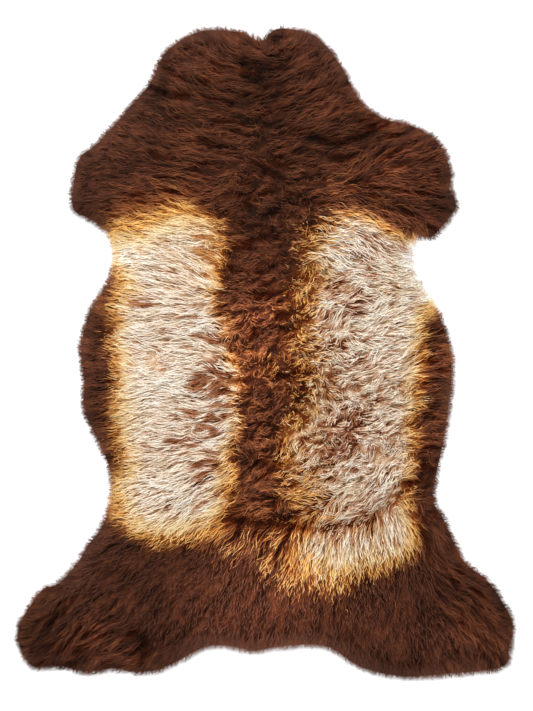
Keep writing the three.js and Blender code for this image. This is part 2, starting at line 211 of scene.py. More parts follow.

# Places that are darker or lighter than the rest, in the wool's own colour and in painted light: x, y,
# radius and change. The darker spots in the hollows on the left of the neck, on the right shoulder and
# in the swirl on the left hind leg are painted shade. The lighter spots on the two lobes of the neck are
# a painted sheen.
TONE_AND_SHADE_SPOTS = [
    (-174, 423, 24, -0.5), (-8, 450, 40, -0.4), (-56, 383, 26, -0.3), (150, 345, 30, -0.4),
    (-302, 222, 34, -0.3), (64, 322, 36, -0.3), (-372, -430, 50, -0.55), (-340, -380, 30, -0.25),
    (-204, -457, 13, -0.6), (-252, -474, 30, 0.3), (354, -417, 46, -0.3), (-289, -90, 30, -0.2),
    (-300, 10, 24, 0.3), (-14, 330, 60, -0.2), (-90, 300, 60, 0.1),
    (-76, 495, 40, 0.35), (80, 490, 40, 0.3), (20, 512, 26, 0.5), (230, 300, 50, 0.25),
    (110, 420, 40, 0.2), (286, 40, 20, 0.15), (-190, 360, 30, 0.1), (0, -405, 110, 1.9),
    (-290, -460, 60, 0.2), (350, -460, 60, 0.2), (-260, -360, 60, 0.15), (-110, -430, 50, 0.6),
    (180, -430, 60, 0.6), (290, -480, 60, 0.75), (-20, 60, 50, 1.5), (-20, -30, 50, 1.7),
    (-10, -130, 40, 0.6), (20, 60, 44, 0.5), (-52, 50, 24, 0.4), (-10, -330, 50, 0.3),
    (-16, 150, 50, 0.5), (-60, 10, 24, 0.1), (-10, -200, 50, 1.1), (-10, -270, 36, 0.3),
    (-230, -410, 50, 0.2), (276, -40, 26, 0.6), (280, -110, 24, 0.4), (-150, -340, 60, 0.25),
    (80, 280, 50, 0.2), (180, 190, 30, 0.25), (286, 236, 26, -0.2), (200, 300, 40, 0.3),
    (200, -380, 40, 0.2), (120, 250, 30, 0.3), (-220, 235, 40, 0.25), (-150, 246, 30, 0.2),
    (-95, 238, 26, 0.2), (120, 240, 40, 0.5), (190, 216, 36, 0.5), (240, 196, 26, 0.4),
    (-250, 120, 18, 0.1), (266, -20, 36, 0.8), (256, -140, 36, 0.8), (-268, -10, 26, 0.3),
    (-262, -130, 26, 0.3), (-160, -300, 46, -0.15), (140, -346, 60, -0.2),
]

# The grid on which the slow fields are worked out once
FIELD_STEP = 4
HALF_WIDTH, HALF_LENGTH = 460, 580
FIELD_X = np.arange(-HALF_WIDTH, HALF_WIDTH + 1, FIELD_STEP)
FIELD_Y = np.arange(-HALF_LENGTH, HALF_LENGTH + 1, FIELD_STEP)
FINE_STEP = 2  # of the grid that holds the streaks
RUG_BOX = ((-420, -535), (415, 535))  # what the strands are scattered over


def smooth(t):
    held = np.clip(t, 0, 1)
    return held * held * (3 - 2 * held)


def between(values, i, j, up, across):
    """What a grid holds between its row i and the next, and its column j and the next."""
    near = values[i, j] * (1 - across) + values[i, j + 1] * across
    far = values[i + 1, j] * (1 - across) + values[i + 1, j + 1] * across
    return near * (1 - up) + far * up


def sampler(values, step=FIELD_STEP):
    """A function that reads a field at any places."""

    def sample(x, y):
        column = np.clip((x - FIELD_X[0]) / step, 0, values.shape[1] - 1.001)
        row = np.clip((y - FIELD_Y[0]) / step, 0, values.shape[0] - 1.001)
        i, j = row.astype(int), column.astype(int)
        return between(values, i, j, row - i, column - j)

    return sample


def noise(size, seed):
    """A function giving smooth noise from -1 to 1, whose lumps are about size across."""
    cells = np.random.default_rng(seed).uniform(-1, 1, (256, 256))

    def sample(x, y):
        column, row = x / size + 128, y / size + 128
        j, i = np.floor(column).astype(int), np.floor(row).astype(int)
        return between(cells, i % 255, j % 255, smooth(row - i), smooth(column - j))

    return sample


def closed_curve(corners, steps):
    """Points along the smooth closed curve through the corners, with any further columns."""
    before, here = np.roll(corners, 1, axis=0), corners
    after, beyond = np.roll(corners, -1, axis=0), np.roll(corners, -2, axis=0)
    t = np.arange(steps)[:, None, None] / steps
    curve = here + 0.5 * t * (
        after - before
        + t * (2 * before - 5 * here + 4 * after - beyond + t * (3 * (here - after) + beyond - before))
    )
    return curve.transpose(1, 0, 2).reshape(-1, corners.shape[1])


def to_line(x, y, a, b):
    """Distance to the line from a to b, and how far along it the nearest point is, from 0 to 1."""
    dx, dy = b[0] - a[0], b[1] - a[1]
    along = np.clip(((x - a[0]) * dx + (y - a[1]) * dy) / (dx * dx + dy * dy + 1e-9), 0, 1)
    return np.hypot(x - a[0] - along * dx, y - a[1] - along * dy), along


def inside(x, y, ring):
    """Distance inside the ring, negative outside it, and the ring's last column at the nearest point."""
    nearest = np.full(x.shape, np.inf)
    value = np.zeros(x.shape)
    crossed = np.zeros(x.shape, bool)
    for a, b in zip(ring, np.roll(ring, -1, axis=0)):
        distance, along = to_line(x, y, a, b)
        closer = distance < nearest
        nearest = np.where(closer, distance, nearest)
        value = np.where(closer, a[-1] + (b[-1] - a[-1]) * along, value)
        if a[1] != b[1]:
            crossing = a[0] + (y - a[1]) / (b[1] - a[1]) * (b[0] - a[0])
            crossed ^= ((a[1] > y) != (b[1] > y)) & (x < crossing)
    return np.where(crossed, nearest, -nearest), value


def painted_crease_shade(x, y):
    """How far painted shade darkens the colour in the partings, from 0 to 1."""
    return 0.88 * (np.clip(crease_at(x, y), 0, 11) / 11) ** 1.5


def crease_depth(x, y):
    depth = np.zeros(x.shape)
    for _, deep, width, line in CREASES:
        nearest = np.min([to_line(x, y, a, b)[0] for a, b in zip(line, line[1:])], axis=0)
        depth += deep * np.exp(-((nearest / width) ** 2))
    return depth


def comb_field(x, y):
    """The combed way and its axis, whichever way along it, and the ruffle, from the near rows."""
    total, ruffle = np.zeros(x.shape), np.zeros(x.shape)
    way, axis = np.zeros(x.shape, complex), np.zeros(x.shape, complex)
    for row_x, row_y, heading, ruffled in COMB:
        weight = 1 / (np.hypot(x - row_x, y - row_y) + 30) ** 4
        total += weight
        way += weight * np.exp(1j * math.radians(heading))
        axis += weight * np.exp(2j * math.radians(heading))
        ruffle += weight * ruffled
    return way / total, axis / np.abs(axis), ruffle / total


def spots(x, y, rows):
    """The share that a table of round soft spots gives, each spot over what the others leave."""
    left = np.ones(x.shape)
    for row_x, row_y, radius, share in rows:
        left *= 1 - share * np.exp(-((np.hypot(x - row_x, y - row_y) / radius) ** 2))
    return 1 - left


def tone_and_shade_field(x, y):
    tone_and_shade = np.ones(x.shape)
    for row_x, row_y, radius, change in TONE_AND_SHADE_SPOTS:
        tone_and_shade += change * np.exp(-((np.hypot(x - row_x, y - row_y) / radius) ** 2))
    return tone_and_shade


field_x, field_y = np.meshgrid(FIELD_X.astype(float), FIELD_Y.astype(float))
outline = closed_curve(np.array(OUTLINE, float), 8)
depth_values, _ = inside(field_x, field_y, outline)
rise_y, rise_x = np.gradient(depth_values, FIELD_STEP)
depth_in = sampler(depth_values)  # distance inside the outline of the tips
outward_x, outward_y = sampler(-rise_x), sampler(-rise_y)
way_at, axis_at, ruffle_at = map(sampler, comb_field(field_x, field_y))
crease_at = sampler(crease_depth(field_x, field_y))
(left_in, left_amber_at), (right_in, right_amber_at) = [
    map(sampler, inside(field_x, field_y, closed_curve(np.array(patch, float), 4)))
    for patch in (LEFT_PATCH, RIGHT_PATCH)
]
tone_and_shade_at = sampler(tone_and_shade_field(field_x, field_y))

broad_turn = noise(70, 1)
small_turn = noise(22, 2)
edge_wander = noise(26, 3)
edge_fray = noise(9, 4)
height_roll = noise(48, 5)
roan_clouds = noise(30, 6)
tone_clouds = noise(60, 8)


def parted_at(x, y):
    """How far the wool's comb turns back there, from 0 to 1, as along a parting."""
    return 1 - np.clip(np.abs(way_at(x, y)), 0, 1)


def near_rim(depth, width):
    """1 where the loose tips begin, falling to 0 over that width further in."""
    return 1 - smooth((depth - RIM_INSET) / width)


def curl_at(x, y):
    """How far the wool is in loose curls, from 0 to 1, and not combed."""
    return np.clip((ruffle_at(x, y) - 1) / 1.5, 0, 1)


def sleek_at(x, y):
    """How far the wool is short, smooth and even, from 0 to 1, as on the rump."""
    return 1 - smooth((ruffle_at(x, y) - 0.55) / 0.4)


def bend_at(x, y):
    """How far the wool's slow waves turn it from its comb, in radians."""
    smoothed = np.minimum(ruffle_at(x, y), 1)
    turn = smoothed * (0.2 * broad_turn(x, y) + 0.32 * small_turn(x, y))
    return turn + curl_at(x, y) * 0.8 * small_turn(x, y)


def combed_streaks(width, length, seed):
    """Noise drawn out along the comb, as a field with a mean of 0 and a spread of 1."""
    lumps = noise(width, seed)
    total = lumps(fine_x, fine_y)
    for way in (1, -1):
        x, y = fine_x.copy(), fine_y.copy()
        before = way * np.exp(0.5j * np.angle(axis_at(x, y)))
        for _ in range(round(length / 2 / FINE_STEP)):
            heading = np.exp(0.5j * np.angle(axis_at(x, y)) + 1j * bend_at(x, y))
            heading = heading * np.where((np.conj(heading) * before).real < 0, -1, 1)
            x, y = x + FINE_STEP * heading.real, y + FINE_STEP * heading.imag
            total = total + lumps(x, y)
            before = heading
    return sampler((total - total.mean()) / total.std(), FINE_STEP)


fine_x, fine_y = np.meshgrid(
    np.arange(FIELD_X[0], FIELD_X[-1] + 1, FINE_STEP, dtype=float),
    np.arange(FIELD_Y[0], FIELD_Y[-1] + 1, FINE_STEP, dtype=float),
)
furrow_streaks = combed_streaks(5.5, 32, 21)
fine_streaks = combed_streaks(4.5, 32, 22)
roan_streaks = combed_streaks(10, 40, 23)
mottle = combed_streaks(6, 18, 24)


def furrow_at(x, y):
    """The open streaks between the locks, from 0 to 1. The wool lies lower there, and its colour is
    darkened with painted shade.
    """
    open_up = FURROW_SHARE * np.clip(2 * ruffle_at(x, y) - 0.9, 0, 1.1)
    return smooth((-furrow_streaks(x, y) - 1.6 - 0.9 * sleek_at(x, y) + 3 * open_up) / 0.9)


def wool_height(x, y):
    """Height of the wool's surface over the floor, close to the solid's."""
    depth = depth_in(x, y)
    share = np.clip((depth - RIM_INSET) / CROWN_REACH, 0, 1)
    crown = np.sqrt(1 - (1 - share) ** 2)
    top = RIM_HEIGHT + (PILE_HEIGHT - RIM_HEIGHT) * crown
    relief = (3 * height_roll(x, y) - crease_at(x, y)) * smooth(share * 2)
    rim = smooth((depth + 10) / (RIM_INSET + 10))
    return (top + relief) * (0.12 + 0.88 * rim)


def coat_at(x, y):
    """Shares of pale hair, of amber hair, and of brown hair among the pale."""
    wander = 7 * edge_wander(x, y) + 5 * edge_fray(x, y)
    ragged = 1 + 0.8 * smooth((100 - np.abs(x - 40)) / 60)
    left, right = left_in(x, y) + wander, right_in(x, y) + wander * ragged
    width_left, width_right = left_amber_at(x, y), right_amber_at(x, y)
    pale = np.maximum(smooth(left / 18 + 0.5), smooth(right / 30 + 0.5))
    amber = np.zeros(np.shape(x))
    for past, width in ((left, width_left), (right, width_right)):
        outer = 1.2 + 0.6 * smooth((width - 22) / 6)
        halo = smooth(past / width / outer + 1.1) * (1 - smooth(past / width / 1.9 - 0.1))
        amber = np.maximum(amber, halo * smooth(width / 12))
    golden = spots(x, y, GOLDEN) * np.clip(0.8 + 0.5 * mottle(x, y), 0, 1.2)
    amber = np.maximum(amber, golden)
    ring_x, ring_y, radius, half, share = AMBER_RING
    from_ring = np.abs(np.hypot(x - ring_x, y - ring_y) - radius)
    amber = np.maximum(amber, share * np.exp(-((from_ring / half) ** 2)))
    base = np.where(right > left, RIGHT_ROAN, LEFT_ROAN)
    roan = 1 - (1 - base) * (1 - spots(x, y, ROAN))
    return pale, amber, roan


def scatter(count, rng, least_depth):
    """Places spread evenly over the hide, deeper inside the outline than least_depth."""
    low, high = np.array(RUG_BOX)
    covered = (depth_values > least_depth).sum() * FIELD_STEP**2
    step = math.sqrt(covered / count)
    columns, rows = int((high[0] - low[0]) / step), int((high[1] - low[1]) / step)
    x, y = np.meshgrid(np.arange(columns), np.arange(rows))
    x = low[0] + (x.ravel() + rng.uniform(0, 1, x.size)) * step
    y = low[1] + (y.ravel() + rng.uniform(0, 1, y.size)) * step
    kept = depth_in(x, y) > least_depth
    return x[kept], y[kept]


def lock_roots(spacing, seed):
    """A jittered grid of lock roots, as arrays of x and y, row by row."""
    rng = np.random.default_rng(seed)
    columns, rows = int(2 * HALF_WIDTH / spacing), int(2 * HALF_LENGTH / spacing)
    x, y = np.meshgrid(np.arange(columns), np.arange(rows))
    x = (x + rng.uniform(-0.4, 0.4, x.shape)) * spacing - HALF_WIDTH
    y = (y + rng.uniform(-0.4, 0.4, y.shape)) * spacing - HALF_LENGTH
    return x, y


def nearest_lock(x, y, roots, spacing):
    """Index of the lock whose root is nearest, measured long along the comb."""
    root_x, root_y = roots
    rows, columns = root_x.shape
    j0 = np.round((x + HALF_WIDTH) / spacing).astype(int)
    i0 = np.round((y + HALF_LENGTH) / spacing).astype(int)
    heading = np.angle(axis_at(x, y)) / 2
    along_x, along_y = np.cos(heading), np.sin(heading)
    best = np.full(x.shape, np.inf)
    index = np.zeros(x.shape, int)
    for di in (-1, 0, 1):
        for dj in (-1, 0, 1):
            i = np.clip(i0 + di, 0, rows - 1)
            j = np.clip(j0 + dj, 0, columns - 1)
            dx, dy = x - root_x[i, j], y - root_y[i, j]
            along = dx * along_x + dy * along_y
            across = dy * along_x - dx * along_y
            distance = np.hypot(along * 0.65, across)
            closer = distance < best
            best = np.where(closer, distance, best)
            index = np.where(closer, i * columns + j, index)
    return index


def lock_paths(x, y, rng):
    """The line that each lock's middle follows, seen from above, at every station.

    Along a parting, where the comb turns back, the locks fall to either side and cover it."""
    count = len(x)
    bend = rng.normal(0, 1, count)
    phase = rng.uniform(0, 2 * math.pi, count)
    reach = REACH * rng.uniform(0.85, 1.15, count) * (1 - 0.5 * curl_at(x, y))
    reach *= 1 - 0.6 * sleek_at(x, y) * smooth((depth_in(x, y) - 25) / 35)
    pale = coat_at(x, y)[0]
    reach *= 1 + 0.12 * pale
    side = rng.uniform(-1, 1, count)
    straighter = 1 - 0.5 * np.maximum(pale, sleek_at(x, y))
    progress = STATIONS**1.4
    path = np.zeros((len(STATIONS), count), complex)
    path[0] = x + 1j * y
    before = None
    for k in range(1, len(STATIONS)):
        here_x, here_y = path[k - 1].real, path[k - 1].imag
        curl = curl_at(here_x, here_y)
        turn = bend_at(here_x, here_y) + curl * bend * (0.2 + 0.6 * STATIONS[k])
        turn += 0.08 * bend + WAVE * straighter * np.sin(phase + 6.0 * STATIONS[k])
        heading = np.exp(0.5j * np.angle(axis_at(here_x, here_y)))
        if before is None:
            along = (np.conj(heading) * way_at(here_x, here_y)).real + side
        else:
            along = (np.conj(heading) * before).real
        heading = heading * np.where(along < 0, -1, 1)
        before = heading
        rim = 1.4 * smooth(1 - depth_in(here_x, here_y) / 30)
        heading = heading + rim * (outward_x(here_x, here_y) + 1j * outward_y(here_x, here_y))
        heading = heading / (np.abs(heading) + 1e-9) * np.exp(1j * turn)
        path[k] = path[k - 1] + reach * (progress[k] - progress[k - 1]) * heading
    return np.stack([path.real, path.imag], axis=2)


def strand_roots(rng):
    """Where the strands begin: evenly over the hide, and more of them along its rim."""
    x, y = scatter(STRANDS * 1.3, rng, ROOT_INSET)
    kept = rng.uniform(0, 1, len(x)) < 0.62 + 0.5 * curl_at(x, y) + 0.6 * parted_at(x, y)
    x, y = x[kept], y[kept]
    in_rim = ((depth_values > ROOT_INSET) & (depth_values < RIM_BAND)).mean()
    in_all = (depth_values > ROOT_INSET).mean()
    rim_x, rim_y = scatter(RIM_STRANDS * in_all / in_rim, rng, ROOT_INSET)
    at_rim = depth_in(rim_x, rim_y) < RIM_BAND
    return np.concatenate([x, rim_x[at_rim]]), np.concatenate([y, rim_y[at_rim]])


def grow_locks(rng):
    """The locks' roots, middle lines, heights, pale shares, shades and draws."""
    roots = lock_roots(LOCK_SPACING, 11)
    x, y = roots[0].ravel(), roots[1].ravel()
    staples = lock_roots(STAPLE_SPACING, 12)
    staple = nearest_lock(x, y, staples, STAPLE_SPACING)
    paths = lock_paths(x, y, rng)
    staple_paths = lock_paths(staples[0].ravel(), staples[1].ravel(), rng)
    to_staple = (staple_paths[:, staple] - staple_paths[0, staple]) - (paths - paths[0])
    level = 0.98 + rng.uniform(-0.05, 0.04, len(x)) * (1 - 0.6 * sleek_at(x, y))
    loose = np.clip(2 * ruffle_at(x, y) - 1, 0.15, 1)
    sunken = rng.uniform(0, 1, len(x)) < SUNKEN * loose
    pale = coat_at(x, y)[0]
    level[sunken] = (rng.uniform(*SUNKEN_LEVELS, len(x)) + 0.12 * pale)[sunken]
    # The sunken locks are painted darker, as the shade in the gaps between the others.
    shade = rng.uniform(-1, 1, len(x)) - sunken * (1 - 0.6 * pale)
    draw = rng.uniform(-1, 1, len(x))
    staple_shade = rng.uniform(-1, 1, staples[0].size)
    return {
        "roots": roots,
        "middles": paths + 0.35 * STATIONS[:, None, None] * to_staple,
        "level": level,
        "pale": pale,
        "shade": 0.3 * shade + 0.2 * staple_shade[staple],
        "draw": draw,
    }


def shortened(path, share):
    """The paths with their lengths times the share."""
    return path[0] + (path - path[0]) * share[:, None]


def strand_paths(x, y, locks, lock, rng):
    """The line that each strand follows in its lock, seen from above, kept within the outline."""
    count = len(x)
    own = np.stack([x, y], axis=1) - np.stack([side.ravel()[lock] for side in locks["roots"]], axis=1)
    stray = rng.normal(0, 1, (count, 2))
    pull = rng.uniform(0.0, 0.35, count) + 0.25 * curl_at(x, y)
    path = np.zeros((len(STATIONS), count, 2))
    for k, t in enumerate(STATIONS):
        spread = 1 - pull * t**1.3
        path[k] = locks["middles"][k, lock] + own * spread[:, None] + 1.8 * stray * t**2
    path[1:3] += rng.normal(0, FRIZZ, path[1:3].shape)

    length = rng.uniform(*LENGTHS, count)
    short = rng.uniform(0, 1, count) < SHORT_SHARE + 0.6 * parted_at(x, y)
    length *= np.where(short, rng.uniform(*SHORT_LENGTHS, count), 1)
    loose = 0.14 + 0.16 * sleek_at(x, y) + 0.16 * near_rim(depth_in(x, y), 20)
    own_turn = rng.normal(0, 1, count) * loose
    rel = (path - path[0]) * length[:, None]
    turned_x = rel[..., 0] * np.cos(own_turn) - rel[..., 1] * np.sin(own_turn)
    turned_y = rel[..., 0] * np.sin(own_turn) + rel[..., 1] * np.cos(own_turn)
    path = path[0] + np.stack([turned_x, turned_y], axis=2)

    root_depth, tip_depth = depth_in(*path[0].T), depth_in(*path[-1].T)
    limit = TIP_LIMIT + rng.normal(0, TIP_SPREAD, count) - 2.5 * locks["draw"][lock]
    limit -= 6 * (rng.uniform(0, 1, count) < 0.12) * rng.uniform(0, 1, count)
    crossed = np.maximum(crease_at(*path[2].T), crease_at(*path[-1].T))
    path = shortened(path, 1 - 0.55 * smooth((crossed - 5) / 3))
    past_limit = tip_depth < limit
    cut = np.where(past_limit, (root_depth - limit) / np.maximum(root_depth - tip_depth, 1), 1)
    path = shortened(path, np.clip(cut, 0.15, 1))
    loose_tip = rng.normal(0, 1.5, (count, 2)) * near_rim(root_depth, 22)[:, None]
    return path + loose_tip * (STATIONS**1.5)[:, None, None]


def strand_heights(path, locks, lock, rng):
    """How high each strand lies over the floor at every station."""
    count = path.shape[1]
    level = locks["level"][lock] * rng.uniform(*LEVELS, count)
    level *= np.where(rng.uniform(0, 1, count) < 0.15, rng.uniform(0.65, 0.95, count), 1)
    furrow_depth = FURROW_DEPTH * (1 - 0.6 * locks["pale"][lock])
    height = np.zeros((len(STATIONS), count))
    for k, t in enumerate(STATIONS):
        surface = wool_height(*path[k].T) * level
        surface *= 1 - furrow_depth * furrow_at(*path[k].T)
        height[k] = HIDE_THICKNESS + (surface - HIDE_THICKNESS) * (1 - (1 - t) ** 3)
    height[-1] -= 2 * (height[-1] > 12)
    return height


def strand_widths(x, y, locks, lock, rng):
    width = STRAND_WIDTH * rng.uniform(0.75, 1.25, len(x))
    width *= (0.7 + 0.3 * smooth((depth_in(x, y) - RIM_INSET) / 20)) * (1 - 0.25 * sleek_at(x, y))
    return width * (1 + 0.05 * locks["pale"][lock])


def strand_looks(x, y, path, locks, lock, rng):
    """What the strands' colour follows: their shares of each kind of hair, their shade, their light with
    its painted shade and glow, and their spots of colour and painted shade.
    """
    count = len(x)
    at_x, at_y = np.moveaxis(path, 2, 0)

    # The pattern, which each strand carries a little way along itself
    grizzled = smooth((x - 10) / 20) * smooth((150 - x) / 60)
    offset = rng.normal(0, STREAK_LENGTH, count) * (1 + 1.6 * grizzled)
    offset = offset + 14 * grizzled * locks["draw"][lock]
    way = path[-1] - path[0]
    way /= np.linalg.norm(way, axis=1, keepdims=True) + 1e-6
    seen_x, seen_y = np.moveaxis(path + offset[:, None] * way, 2, 0)
    pale, amber, roan = coat_at(seen_x, seen_y)

    # Brown hairs among the pale ones, in short streaks
    clouds = 0.6 * roan_clouds(x, y) + 0.5 * roan_streaks(*path[2].T)
    short_streaks = mottle(at_x, at_y)
    flecked = 0.8 * roan_streaks(at_x, at_y) + 1.3 * short_streaks
    streaks = np.where(x > 10, short_streaks, flecked * np.clip(0.45 + 1.5 * roan, 0, 1))
    mixed = smooth(x / 20)
    own_draw = (0.25 + 0.3 * mixed) * rng.uniform(-1, 1, count)
    draw = own_draw + (0.25 - 0.1 * mixed) * locks["draw"][lock] + 0.25 * roan_clouds(x, y)
    brown = smooth(((1.3 + 0.2 * mixed) * roan - 0.75 + draw + 0.3 * streaks) * 2.2 + 0.5)

    # Amber tips among the brown ones
    flecks = spots(x, y, FLECKS)
    fleck = smooth((flecks * (1 + 0.6 * clouds) - rng.uniform(0, 1, count)) * 3)
    fleck = fleck * np.array([0, 0.3, 0.8, 1.0])[:, None] * (1 - pale)
    fleck = fleck * (0.42 + 0.4 * smooth((flecks - 0.45) / 0.3))

    # Shade, which is calmer where the wool is sleek, curly, or brown among pale
    sleek = sleek_at(x, y)
    shade = locks["shade"][lock] + 0.3 * np.clip(fine_streaks(at_x, at_y), -1.5, 1.5)
    shade = shade * (1 - 0.85 * sleek) + (0.26 - 0.04 * sleek) * rng.uniform(-1, 1, count)
    shade = shade + (0.3 - 0.15 * sleek) * rng.uniform(-1, 1, shade.shape)
    shade = shade * (1 - 0.35 * curl_at(x, y)) - 0.25 * sleek
    brown = brown * (rng.uniform(0.3, 0.7, count) + 0.2 * (x < 10))
    shade = shade + smooth(brown * pale * 2) * (0.2 + 0.4 * np.abs(shade) - shade)

    # Painted light and shade: the spots table adds painted shade in some hollows. The light mask darkens
    # the colour with painted shade in the furrows and the partings, and lightens the thin tips along the
    # rim with a painted glow, over the strands' own shade.
    tone_and_shade = tone_and_shade_at(seen_x, seen_y) * (1 + 0.1 * tone_clouds(seen_x, seen_y))
    light = (1 + shade * (0.5 - 0.3 * pale)) * (1 - furrow_at(at_x, at_y) * (0.84 - 0.6 * pale))
    light *= (1 + 0.35 * smooth(1 - depth_in(at_x, at_y) / 14)) * (1 + 0.02 * pale)
    light *= (1 - painted_crease_shade(at_x, at_y) * (1 - 0.5 * pale)) * (1 + 0.32 * sleek)
    return {
        "pale": pale * (1 - brown),
        "amber": np.maximum(np.maximum(amber, 0.15 * brown * pale), fleck),
        "shade": shade,
        "light": light,
        "tone_and_shade": 1 + (tone_and_shade - 1) * (1 - 0.85 * pale),
    }


def grow_wool():
    """Every strand's middle line in millimetres, its width, and what its colour follows."""
    rng = np.random.default_rng(SEED)
    x, y = strand_roots(rng)
    locks = grow_locks(rng)
    lock = nearest_lock(x, y, locks["roots"], LOCK_SPACING)
    path = strand_paths(x, y, locks, lock, rng)
    height = strand_heights(path, locks, lock, rng)
    line = np.concatenate([path, height[:, :, None]], axis=2)
    width = strand_widths(x, y, locks, lock, rng)
    return {"line": line, "width": width, **strand_looks(x, y, path, locks, lock, rng)}


def mesh_from_arrays(name, points, triangles):
    mesh = bpy.data.meshes.new(name)
    mesh.vertices.add(len(points))
    mesh.vertices.foreach_set("co", points.astype(np.float32).ravel())
    mesh.loops.add(triangles.size)
    mesh.loops.foreach_set("vertex_index", triangles.astype(np.int32).ravel())
    mesh.polygons.add(len(triangles))
    mesh.polygons.foreach_set("loop_start", np.arange(0, triangles.size, 3, dtype=np.int32))
    mesh.update(calc_edges=True)
    mesh.shade_smooth()
    piece = bpy.data.objects.new(name, mesh)
    bpy.context.scene.collection.objects.link(piece)
    return piece


def get_points(mesh):
    """The mesh's points in metres, as rows of x, y and z."""
    points = np.zeros(len(mesh.vertices) * 3)
    mesh.vertices.foreach_get("co", points)
    return points.reshape(-1, 3)


def set_points(mesh, points):
    mesh.vertices.foreach_set("co", points.ravel())
    mesh.update()


def store_masks(mesh, masks):
    for mask, values in masks.items():
        attribute = mesh.attributes.new(mask, "FLOAT", "POINT")
        attribute.data.foreach_set("value", values.astype(np.float32))


def coat_normals(x, y):
    """The way that the wool's surface as a whole faces, at any places."""
    step = 6
    rise_x = np.clip((wool_height(x + step, y) - wool_height(x - step, y)) / (2 * step), -0.6, 0.6)
    rise_y = np.clip((wool_height(x, y + step) - wool_height(x, y - step)) / (2 * step), -0.6, 0.6)
    facing = np.stack([-rise_x, -rise_y, np.ones(x.shape)], axis=-1)
    return facing / np.linalg.norm(facing, axis=-1, keepdims=True)


def strand_corners():
    """Triangles of one closed strand, and for each corner how far round and along it lies.

    Its points are three at every station but the last, which is the tip alone."""
    rings = len(STATIONS) - 1
    triangles, places = [], []
    for k in range(rings):
        for side in range(3):
            a, b = 3 * k + side, 3 * k + (side + 1) % 3
            u, v = side / 3, (side + 1) / 3
            if k < rings - 1:
                triangles += [(a, b, b + 3), (a, b + 3, a + 3)]
                places += [(u, k), (v, k), (v, k + 1), (u, k), (v, k + 1), (u, k + 1)]
            else:
                triangles.append((a, b, 3 * rings))
                places += [(u, k), (v, k), ((u + v) / 2, rings)]
    triangles.append((2, 1, 0))
    places += [(0.9, 0), (0.5, 0), (0.1, 0)]
    places = np.array(places, float)
    places[:, 1] = STATIONS[places[:, 1].astype(int)]
    return np.array(triangles), places


def strands_piece(name, wool, chosen):
    """One closed tapered mesh for each chosen strand, joined."""
    line = wool["line"][:, chosen]
    rings, count = len(STATIONS) - 1, line.shape[1]
    along = np.gradient(line, axis=0)
    along /= np.linalg.norm(along, axis=2, keepdims=True) + 1e-9
    side = np.stack([along[..., 1], -along[..., 0], np.zeros(along.shape[:2])], axis=2)
    side /= np.linalg.norm(side, axis=2, keepdims=True) + 1e-9
    up = np.cross(side, along)
    points = np.zeros((count, 3 * rings + 1, 3))
    normals = np.zeros(points.shape)
    for k in range(rings):
        half = wool["width"][chosen] * STATION_WIDTHS[k] / 2
        for corner, (aside, lift) in enumerate([(0, 1.0), (1, -0.5), (-1, -0.5)]):
            offset = side[k] * aside + up[k] * lift * STRAND_FLATNESS
            points[:, 3 * k + corner] = line[k] + offset * half[:, None]
            normals[:, 3 * k + corner] = side[k] * aside + up[k] * max(lift, 0)
    points[:, -1] = line[-1]
    normals[:, -1] = up[-1]
    points[..., 2] = np.maximum(points[..., 2], HIDE_THICKNESS * 0.3)
    triangles, places = strand_corners()
    first = np.arange(count)[:, None, None] * (3 * rings + 1)
    piece = mesh_from_arrays(name, points.reshape(-1, 3) * MM, (triangles + first).reshape(-1, 3))

    coat = coat_normals(points[..., 0], points[..., 1])
    shaded = (SOFTNESS * coat + (1 - SOFTNESS) * normals).reshape(-1, 3)
    shaded /= np.linalg.norm(shaded, axis=1, keepdims=True) + 1e-9
    piece.data.normals_split_custom_set_from_vertices(shaded)

    columns = math.ceil(math.sqrt(count * 10))
    rows = math.ceil(count / columns)
    cell = np.stack([np.arange(count) % columns, np.arange(count) // columns], axis=1)
    margin = np.array([0.12, 0.04])
    in_cell = margin + places[None] * (1 - 2 * margin)
    uv = (cell[:, None] + in_cell) / np.array([columns, rows])
    layer = piece.data.uv_layers.new(name="OFBake")
    layer.data.foreach_set("uv", uv.astype(np.float32).ravel())

    ring_of = np.append(np.repeat(np.arange(rings), 3), rings)
    point_values = {"along": np.tile(STATIONS[ring_of], count)}
    for mask in ("pale", "amber", "shade", "light", "tone_and_shade"):
        point_values[mask] = wool[mask][:, chosen].T[:, ring_of].ravel()
    store_masks(piece.data, point_values)
    return piece


def add_node(tree, kind, place, **settings):
    node = tree.nodes.new(kind)
    node.location = place
    for name, value in settings.items():
        setattr(node, name, value)
    return node


def new_material(name):
    material = bpy.data.materials.new(name)
    material.use_nodes = True
    tree = material.node_tree
    return material, tree, tree.nodes["Principled BSDF"]


def from_srgb(colour):
    return [*[((c / 255 + 0.055) / 1.055) ** 2.4 for c in colour], 1]


BUTTER = from_srgb((242, 202, 128))  # pale wool where it turns amber
DIMMING = (0.55, 1.0, 1.45)  # powers for red, green and blue by which the light mask darkens the colour, so that its painted shade is warmer as well as darker


def colour_ramp(tree, place, factor, stops):
    """A ramp from sRGB colours of 0 to 255."""
    ramp = add_node(tree, "ShaderNodeValToRGB", place)
    elements = ramp.color_ramp.elements
    while len(elements) < len(stops):
        elements.new(0.5)
    for element, (position, colour) in zip(elements, stops):
        element.position = position
        element.color = from_srgb(colour)
    tree.links.new(factor, ramp.inputs["Fac"])
    return ramp.outputs["Color"]


def feed(tree, socket, value):
    """Links the value into the socket, or sets it."""
    if isinstance(value, bpy.types.NodeSocket):
        tree.links.new(value, socket)
    else:
        socket.default_value = value


